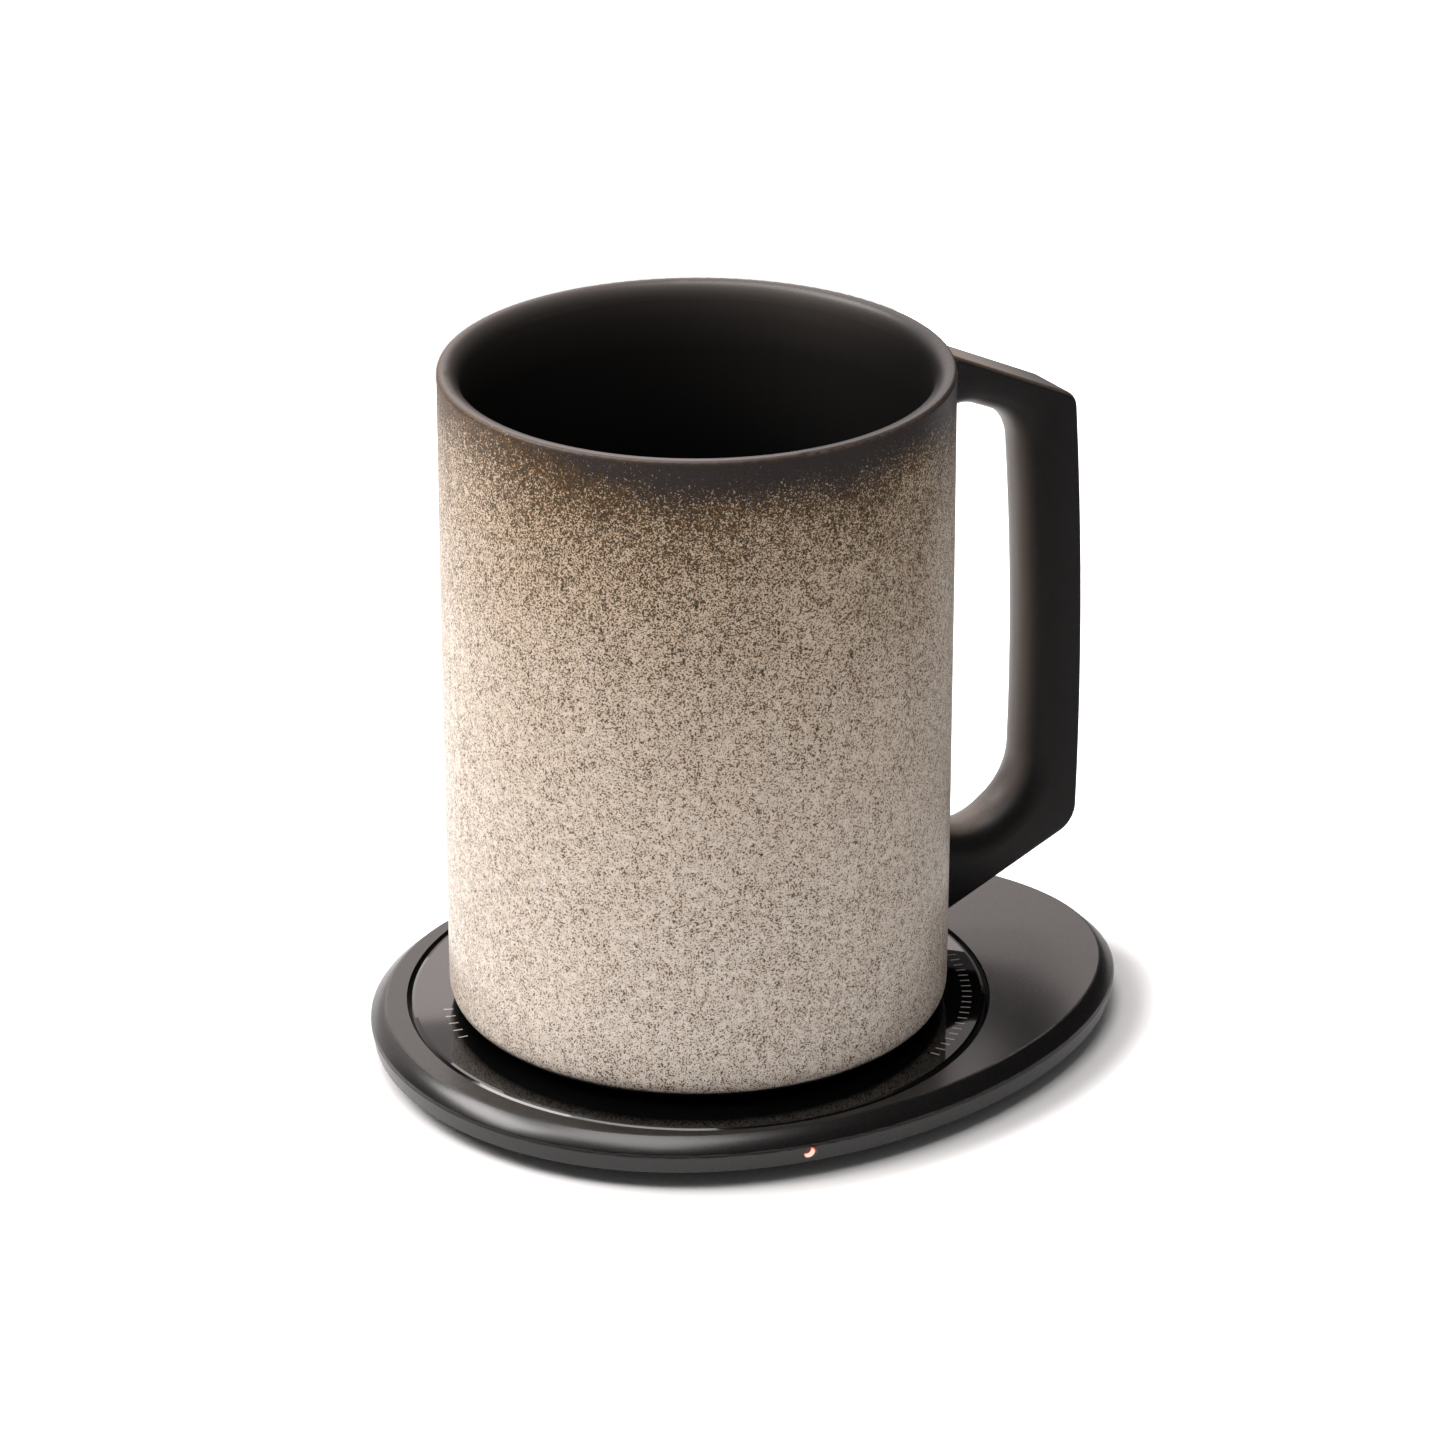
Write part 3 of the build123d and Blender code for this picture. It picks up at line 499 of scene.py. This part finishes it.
def coaster_paint():
    """Charcoal satin paint with a fine metallic sparkle."""
    material, tree, shader = new_material("coaster_paint", Specular_IOR_Level=0.55)
    place = tree.millimetres()
    out = tree.use(GRAIN, {"Place": place, "Grain": 5.5, "Patch": 0.05})
    flake = tree.add("ShaderNodeTexVoronoi", {"Vector": place, "Scale": 4.5})
    spark = tree.smooth(flake.outputs["Distance"], 0.28, 0.05)
    base = tree.mix(out["Shade"], paint(12, 12, 12), paint(16, 15, 15))
    sparkling = tree.mix(tree.times(spark, 0.32), base, paint(124, 119, 116))
    tree.feed(shader.inputs["Base Color"], sparkling)
    tree.feed(shader.inputs["Metallic"], tree.spread(spark, 0.0, 0.6))
    tree.feed(shader.inputs["Roughness"], tree.spread(out["Height"], 0.24, 0.34))
    _, _, up = tree.split(place)
    swell = tree.dome(up, SHOULDER_LEVEL, SHOULDER_REACH)
    grain_normal = tree.bump(out["Height"], PAINT_GRAIN_DEPTH, 0.25)
    swollen = tree.bump(swell, SHOULDER_SWELL, normal=grain_normal)
    tree.feed(shader.inputs["Normal"], swollen)
    return material


# Glass plate: a ground chamfer, and arcs of ticks, each with its first and last turn, its step, and
# its inner and outer radius
CHAMFER_WIDTH = 0.75
CHAMFER_DROP = 0.42
TICK_ARCS = ((-54.0, -4.0, 2.5, 43.4, 45.0), (165.0, 179.0, 3.5, 40.6, 42.2))
TICK_HALF_WIDTH = (0.20, 0.13)
TICK_BLUR = 0.05
TOP_CLEARANCE = 0.05


def tick_arc(tree, radius, angle, first, last, step, inner, outer):
    """Fine radial ticks, evenly spaced between two turns and two radii."""
    count = tree.over(tree.minus(angle, first), step)
    offset = tree.maths("ABSOLUTE", tree.minus(tree.maths("FRACT", tree.plus(count, 0.5)), 0.5))
    gap = tree.times(tree.times(offset, radians(step)), radius)
    tick = tree.smooth(gap, *TICK_HALF_WIDTH)
    tick = tree.times(tick, tree.smooth(radius, inner - TICK_BLUR, inner + TICK_BLUR))
    tick = tree.times(tick, tree.smooth(radius, outer + TICK_BLUR, outer - TICK_BLUR))
    tick = tree.times(tick, tree.maths("GREATER_THAN", angle, first - step / 2))
    return tree.times(tick, tree.maths("LESS_THAN", angle, last + step / 2))


def black_glass():
    """Polished glass, printed black underneath, with fine centring ticks near its rim."""
    material, tree, shader = new_material("black_glass", IOR=1.52)
    place = tree.millimetres()
    x, y, z = tree.split(place)
    radius = tree.distance(x, y)
    angle = tree.times(tree.maths("ARCTAN2", y, x), 180 / pi)
    right_ticks, left_ticks = [tick_arc(tree, radius, angle, *arc) for arc in TICK_ARCS]
    on_top = tree.maths("GREATER_THAN", z, GLASS_TOP - TOP_CLEARANCE)
    printed = tree.times(tree.larger(right_ticks, left_ticks), on_top)
    haze = tree.noise(place, 0.3)
    black = tree.mix(haze, paint(3, 3, 3), paint(7, 7, 7))
    tree.feed(shader.inputs["Base Color"], tree.mix(printed, black, paint(150, 146, 142)))
    chamfer_start = GLASS_RADIUS - CHAMFER_WIDTH
    chamfer = tree.add(
        "ShaderNodeMapRange", {"Value": radius, "From Min": GLASS_RADIUS, "From Max": chamfer_start}
    )
    tree.feed(shader.inputs["Normal"], tree.bump(chamfer.outputs["Result"], CHAMFER_DROP))
    ground = tree.smooth(radius, chamfer_start, chamfer_start + CHAMFER_WIDTH / 2)
    tree.feed(shader.inputs["Roughness"], tree.spread(ground, 0.03, 0.11))
    return material


# Light in the lens: a disc of glow with a painted shadow of the hole's upper edge cut out of it, which
# leaves a crescent.
# The glow is placed from the lens's centre and the shadow from the glow's, along X and up.
GLOW_SHIFT = (0.15, -0.45)
GLOW_EDGE = (1.22, 0.90)
CORE_EDGE = (1.05, 0.70)
SHADOW_SHIFT = (-0.55, 0.85)
SHADOW_EDGE = (0.60, 0.90)


def light_emitter():
    """Hot peach light in the lower part of the lens, deep red towards its rim, with a painted shadow
    over its upper part.
    """
    material, tree, shader = new_material("light_emitter", Roughness=0.25, Emission_Strength=1.0)
    x, _, z = tree.split(tree.millimetres())
    sideways = tree.minus(x, LIGHT_CENTRE[0] + GLOW_SHIFT[0])
    upward = tree.minus(z, LIGHT_CENTRE[1] + GLOW_SHIFT[1])
    reach = tree.distance(sideways, upward)
    edge_shadow = tree.distance(tree.minus(sideways, SHADOW_SHIFT[0]), tree.minus(upward, SHADOW_SHIFT[1]))
    lit = tree.smooth(edge_shadow, *SHADOW_EDGE)
    glow = tree.times(tree.smooth(reach, *GLOW_EDGE), lit)
    core = tree.times(tree.smooth(reach, *CORE_EDGE), lit)
    warm = tree.mix(glow, paint(84, 5, 2), paint(250, 104, 66))
    tree.feed(shader.inputs["Emission Color"], tree.mix(core, warm, paint(255, 222, 200)))
    tree.feed(shader.inputs["Base Color"], tree.mix(glow, paint(34, 3, 2), paint(200, 90, 60)))
    return material


def wound_copper():
    """Enamelled copper wire."""
    material, tree, shader = new_material("copper_coil", Metallic=0.9, Coat_Weight=0.4)
    place = tree.millimetres()
    lines = tree.use(TURNED, {"Place": place, "Pitch": 1.0})
    shade = tree.noise(place, 0.3)
    tree.feed(shader.inputs["Base Color"], tree.mix(shade, paint(178, 96, 52), paint(206, 124, 74)))
    tree.feed(shader.inputs["Roughness"], tree.spread(lines["Height"], 0.22, 0.36))
    tree.feed(shader.inputs["Normal"], tree.bump(lines["Height"], 0.05, 0.3))
    return material


def board_green():
    """Solder mask over copper, with paler tracks between its fields."""
    material, tree, shader = new_material("board_green", Specular_IOR_Level=0.5)
    place = tree.millimetres()
    tracks = tree.add(
        "ShaderNodeTexBrick",
        {
            "Vector": place,
            "Scale": 1.0,
            "Brick Width": 3.4,
            "Row Height": 1.3,
            "Mortar Size": 0.09,
            "Mortar Smooth": 0.2,
            "Color1": paint(14, 74, 40),
            "Color2": paint(18, 84, 46),
            "Mortar": paint(34, 116, 66),
        },
    )
    tree.feed(shader.inputs["Base Color"], tracks.outputs["Color"])
    tree.feed(shader.inputs["Roughness"], tree.spread(tree.noise(place, 2.0), 0.28, 0.42))
    tree.feed(shader.inputs["Normal"], tree.bump(tracks.outputs["Fac"], 0.03, 0.5))
    return material


def heater_foil(name):
    """Amber film over etched tracks."""
    material, tree, shader = new_material(name, Coat_Weight=0.3)
    lines = tree.use(TURNED, {"Place": tree.millimetres(), "Pitch": 2.4})
    track = tree.smooth(lines["Height"], 0.45, 0.60)
    tree.feed(shader.inputs["Base Color"], tree.mix(track, paint(196, 118, 34), paint(128, 84, 52)))
    tree.feed(shader.inputs["Metallic"], tree.spread(track, 0.0, 0.5))
    tree.feed(shader.inputs["Roughness"], tree.spread(track, 0.24, 0.38))
    return material


finishes = {
    speckled_glaze(): ["mug_body"],
    handle_glaze(): ["mug_handle"],
    coaster_paint(): ["upper_housing"],
    black_glass(): ["glass_plate"],
    light_emitter(): ["light_lens", "light_chip"],
    grained("cover_plastic", paint(22, 22, 22), 0.55, 2.6, 0.02): ["lower_cover"],
    grained("base_plastic", paint(14, 14, 14), 0.50, 2.6, 0.02): ["base_cap"],
    grained("silicone", paint(26, 26, 26), 0.72, 3.4, 0.02): ["foot_pad", "foot_ring", "base_seal"],
    grained("adhesive", paint(120, 120, 118), 0.60, 1.6, 0.03): ["glass_adhesive", "thermal_pad"],
    grained("screw_steel", paint(186, 186, 188), 0.32, 4.0, 0.01, Metallic=1.0): [
        "cover_screws", "board_screws", "receiver_board_screws",
    ],
    wound_copper(): ["transmitter_coil", "receiver_coil"],
    grained("ferrite", paint(44, 44, 47), 0.58, 4.0, 0.03): ["transmitter_ferrite", "receiver_ferrite"],
    grained("shield_aluminium", paint(200, 200, 204), 0.34, 3.0, 0.01, Metallic=1.0): ["shield_plate"],
    board_green(): ["main_board", "receiver_board", "light_board"],
    grained("chip_black", paint(24, 24, 26), 0.48, 5.0, 0.02): [
        "control_chips", "power_transistors", "receiver_chips", "power_inductor",
    ],
    grained("capacitor_tan", paint(150, 118, 84), 0.42, 3.0, 0.01): [
        "board_capacitors", "receiver_capacitors",
    ],
    grained("can_aluminium", paint(208, 208, 210), 0.28, 3.0, 0.01, Metallic=1.0): [
        "bulk_capacitors", "clock_crystal",
    ],
    grained("lead_red", paint(168, 22, 16), 0.36, 2.0, 0.01): [
        "heater_leads", "receiver_coil_leads", "transmitter_leads",
    ],
    grained("sensor_bead", paint(32, 32, 36), 0.22, 2.0, 0.01): ["floor_thermistor", "coil_thermistor"],
    heater_foil("heater_foil"): ["heater_film"],
    heater_foil("cable_film"): ["light_cable"],
    grained("insulation_felt", paint(226, 226, 220), 0.90, 1.4, 0.15): ["insulation_disc"],
    grained("socket_steel", paint(178, 178, 182), 0.30, 3.0, 0.01, Metallic=1.0): ["usb_shell"],
    grained("socket_black", paint(18, 18, 18), 0.45, 3.0, 0.02): ["usb_tongue"],
}

for material, names in finishes.items():
    for name in names:
        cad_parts[name].material_slots[0].material = material


# Windings in place of the two plain coil rings: each with its name, its body, the ring that it
# replaces, its level and the radius of its wire
TURN_POINTS = 64
WIRE_SIDES = 8
COIL_INNER_RADIUS = 8.0
COIL_OUTER_RADIUS = 25.0
COIL_TURNS = 15.0
COILS = (
    ("transmitter_winding", "coaster", "transmitter_coil", 6.65, 0.53),
    ("receiver_winding", "mug", "receiver_coil", 11.0, 0.49),
)


def make_winding_tree(copper):
    """Geometry nodes for a flat coil: a spiral of round wire between two radii, at one level."""
    group = bpy.data.node_groups.new("flat_winding", "GeometryNodeTree")
    group.interface.new_socket("Geometry", in_out="INPUT", socket_type="NodeSocketGeometry")
    for label in ("Inner Radius", "Outer Radius", "Turns", "Wire Radius", "Level"):
        group.interface.new_socket(label, in_out="INPUT", socket_type="NodeSocketFloat")
    group.interface.new_socket("Geometry", in_out="OUTPUT", socket_type="NodeSocketGeometry")
    tree = Tree(group)
    given = tree.add("NodeGroupInput").outputs
    spiral = tree.add(
        "GeometryNodeCurveSpiral",
        {
            "Resolution": TURN_POINTS,
            "Rotations": given["Turns"],
            "Start Radius": given["Inner Radius"],
            "End Radius": given["Outer Radius"],
            "Height": 0.0,
        },
    )
    lift = tree.add("ShaderNodeCombineXYZ", {"Z": given["Level"]})
    raised = tree.add(
        "GeometryNodeSetPosition",
        {"Geometry": spiral.outputs["Curve"], "Offset": lift.outputs["Vector"]},
    )
    wire = tree.add(
        "GeometryNodeCurvePrimitiveCircle",
        {"Resolution": WIRE_SIDES, "Radius": given["Wire Radius"]},
        mode="RADIUS",
    )
    swept = tree.add(
        "GeometryNodeCurveToMesh",
        {"Curve": raised.outputs["Geometry"], "Profile Curve": wire.outputs["Curve"], "Fill Caps": True},
    )
    real = tree.add("GeometryNodeRealizeInstances", {"Geometry": swept.outputs["Mesh"]})
    painted = tree.add(
        "GeometryNodeSetMaterial", {"Geometry": real.outputs["Geometry"], "Material": copper}
    )
    result = tree.add("NodeGroupOutput")
    tree.feed(result.inputs["Geometry"], painted.outputs["Geometry"])
    return group


def wind_coil(name, winding, sizes, body, replaced):
    """A coil as a plain mesh, which rides its body and takes a plain ring's place."""
    start = bpy.data.meshes.new(name + "_start")
    holder = bpy.data.objects.new(name + "_holder", start)
    bpy.context.scene.collection.objects.link(holder)
    modifier = holder.modifiers.new("winding", "NODES")
    modifier.node_group = winding
    for item in winding.interface.items_tree:
        if item.in_out == "INPUT" and item.name in sizes:
            modifier[item.identifier] = sizes[item.name]
    evaluated = holder.evaluated_get(bpy.context.evaluated_depsgraph_get())
    mesh = bpy.data.meshes.new_from_object(evaluated)
    mesh.name = name
    bpy.data.objects.remove(holder)
    bpy.data.meshes.remove(start)
    coil = bpy.data.objects.new(name, mesh)
    bpy.context.scene.collection.objects.link(coil)
    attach(coil, body)
    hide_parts(replaced)


winding_tree = make_winding_tree(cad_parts["receiver_coil"].material_slots[0].material)
for coil_name, body, replaced, level, wire_radius in COILS:
    coil_sizes = {
        "Inner Radius": (COIL_INNER_RADIUS + wire_radius) * MILLIMETRE,
        "Outer Radius": (COIL_OUTER_RADIUS - wire_radius) * MILLIMETRE,
        "Turns": COIL_TURNS,
        "Wire Radius": wire_radius * MILLIMETRE,
        "Level": level * MILLIMETRE,
    }
    wind_coil(coil_name, winding_tree, coil_sizes, body, replaced)


# Stage: a pale floor that keeps the object's shadow and goes white away from the coaster for the
# camera. Gloss and glass see it white on the backdrop's side and dim on the other. Its size is in
# metres, and its pattern follows a rough outline of the coaster, narrower towards +X.
FLOOR_SIZE = 0.6
FLOOR_SHADE = grey(0.80)
DIM_SHADE = grey(0.18)
BACKDROP_TURN = 89.34
OUTLINE_CENTRE = 9.4
OUTLINE_HALF_LENGTH = 63.6
OUTLINE_HALF_WIDTH = 51.3
OUTLINE_TAPER = 0.12
LIFT_REACH = (2.2, 11.0)
SWEEP_REACH = (10.0, 140.0)
TABLE_REACH = (12.0, 40.0)
MIRRORED_LIFT = 0.8


def make_floor():
    mesh = bpy.data.meshes.new("floor")
    half = FLOOR_SIZE / 2
    corners = [(-half, -half, 0), (half, -half, 0), (half, half, 0), (-half, half, 0)]
    mesh.from_pydata(corners, [], [(0, 1, 2, 3)])
    floor = bpy.data.objects.new("floor", mesh)
    bpy.context.scene.collection.objects.link(floor)
    material = bpy.data.materials.new("floor")
    material.use_nodes = True
    nodes = material.node_tree.nodes
    nodes.remove(nodes["Principled BSDF"])
    tree = Tree(material.node_tree)
    x, y, _ = tree.split(tree.millimetres())
    along = tree.over(tree.minus(x, OUTLINE_CENTRE), OUTLINE_HALF_LENGTH)
    taper = tree.minus(1.0, tree.times(along, OUTLINE_TAPER))
    across = tree.over(tree.over(y, taper), OUTLINE_HALF_WIDTH)
    outside = tree.times(tree.minus(tree.distance(along, across), 1.0), OUTLINE_HALF_WIDTH)
    lift = tree.smooth(outside, *LIFT_REACH)
    behind = tree.smooth(tree.toward(x, y, BACKDROP_TURN), *SWEEP_REACH)
    ahead = tree.times(tree.minus(1.0, behind), tree.smooth(outside, *TABLE_REACH))
    path = tree.add("ShaderNodeLightPath").outputs
    mirrored = tree.larger(path["Is Glossy Ray"], path["Is Transmission Ray"])
    shade = tree.mix(tree.times(mirrored, ahead), FLOOR_SHADE, DIM_SHADE)
    seen = tree.plus(path["Is Camera Ray"], tree.times(tree.times(mirrored, behind), MIRRORED_LIFT))
    matt = tree.add("ShaderNodeBsdfDiffuse", {"Color": shade})
    glow = tree.add("ShaderNodeEmission", {"Strength": tree.times(lift, seen)})
    both = tree.add("ShaderNodeAddShader")
    tree.feed(both.inputs[0], matt.outputs[0])
    tree.feed(both.inputs[1], glow.outputs[0])
    tree.feed(nodes["Material Output"].inputs["Surface"], both.outputs[0])
    mesh.materials.append(material)
    return floor


make_floor()


LAMP_AIM = Vector((0, 0, 0.05))
SOFT_WHITE = (1.0, 0.965, 0.95)


def softbox(name, azimuth, elevation, distance, width, height, power, shade):
    """A soft lamp aimed at the mug: its azimuth is counted from the camera's, positive to the right."""
    lamp = bpy.data.lights.new(name, "AREA")
    lamp.shape = "RECTANGLE"
    lamp.size = width
    lamp.size_y = height
    lamp.energy = power
    lamp.color = shade
    holder = bpy.data.objects.new(name, lamp)
    bpy.context.scene.collection.objects.link(holder)
    turn = radians(CAMERA_TURN + azimuth)
    rise = radians(elevation)
    direction = Vector((cos(turn) * cos(rise), sin(turn) * cos(rise), sin(rise)))
    holder.location = LAMP_AIM + direction * distance
    holder.rotation_euler = direction.to_track_quat("Z", "Y").to_euler()


softbox("key_light", -93, 46, 1.5, 0.98, 0.54, 22.5, SOFT_WHITE)
softbox("top_light", -38, 74, 1.5, 1.05, 0.90, 20.0, SOFT_WHITE)
softbox("back_light", -172, 44, 1.4, 1.3, 0.30, 4.0, (1.0, 0.92, 0.90))
softbox("low_back_light", -168, 20, 1.6, 1.3, 0.36, 2.4, (1.0, 0.87, 0.84))

# World: a white backdrop for the camera and, behind the object, for gloss and glass. Towards the
# front and overhead the studio is dim, and the rest of the light is a plain grey.
WHITE = (1.0, 1.0, 1.0, 1.0)
WARM_WHITE = (1.0, 0.92, 0.90, 1.0)
BACKDROP_RISE = 8.0
BACKDROP_EDGE = (0.70, 0.93)
STUDIO_SHADE = 0.04
AMBIENT_SHADE = 0.17


def backdrop_direction():
    turn = radians(BACKDROP_TURN)
    rise = radians(BACKDROP_RISE)
    return cos(turn) * cos(rise), sin(turn) * cos(rise), sin(rise)


def make_world():
    world = bpy.data.worlds.new("studio")
    world.use_nodes = True
    tree = Tree(world.node_tree)
    facing = tree.add("ShaderNodeVectorMath", operation="DOT_PRODUCT")
    tree.feed(facing.inputs[0], tree.add("ShaderNodeTexCoord").outputs["Generated"])
    tree.feed(facing.inputs[1], backdrop_direction())
    backdrop_share = tree.smooth(facing.outputs["Value"], *BACKDROP_EDGE)
    path = tree.add("ShaderNodeLightPath").outputs
    glossy = tree.larger(path["Is Glossy Ray"], path["Is Transmission Ray"])
    reflected = tree.times(glossy, tree.spread(backdrop_share, STUDIO_SHADE, 1.0))
    shown = tree.larger(path["Is Camera Ray"], reflected)
    other = tree.times(tree.minus(1.0, glossy), AMBIENT_SHADE)
    backdrop = world.node_tree.nodes["Background"]
    tree.feed(backdrop.inputs["Strength"], tree.larger(shown, other))
    tree.feed(backdrop.inputs["Color"], tree.mix(glossy, WHITE, WARM_WHITE))
    return world


bpy.context.scene.world = make_world()

camera_data = bpy.data.cameras.new("camera")
camera_data.lens = CAMERA_LENS
camera_data.sensor_width = CAMERA_SENSOR
camera_data.clip_start = CAMERA_NEAR
camera = bpy.data.objects.new("camera", camera_data)
bpy.context.scene.collection.objects.link(camera)
camera.location = CAMERA_PLACE
camera.rotation_euler = Euler([radians(angle) for angle in CAMERA_ANGLES], "XYZ")
bpy.context.scene.camera = camera
bpy.context.scene.view_settings.view_transform = "Standard"
